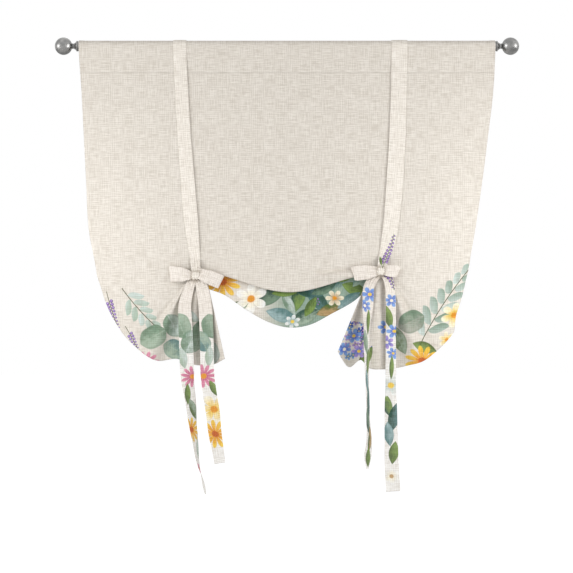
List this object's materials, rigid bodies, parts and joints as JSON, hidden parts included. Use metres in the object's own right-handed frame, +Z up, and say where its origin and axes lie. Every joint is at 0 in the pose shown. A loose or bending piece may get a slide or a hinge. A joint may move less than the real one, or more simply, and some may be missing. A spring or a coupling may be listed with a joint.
{
  "type": "tie-up curtain",
  "caption": "Linen-look tie-up curtain on a metal rod with ball finials, drawn up by straps tied in bows into a printed swag and two side fans.",
  "frame": {"origin": "the middle of the curtain rod's axis", "axes": "+X along the rod, -Y towards the room that the bows face, +Z up"},
  "size_m": [1.1908, 0.0989, 1.1686],
  "materials": {
    "linen": "woven, matt",
    "strap_linen": "woven, matt",
    "satin_nickel": "satin"
  },
  "bodies": {
    "root": {"curtain_panel": "linen", "tie_left": "strap_linen", "tie_right": "strap_linen", "rod": "satin_nickel", "finial_left": "satin_nickel", "finial_right": "satin_nickel"}
  },
  "joints": []
}
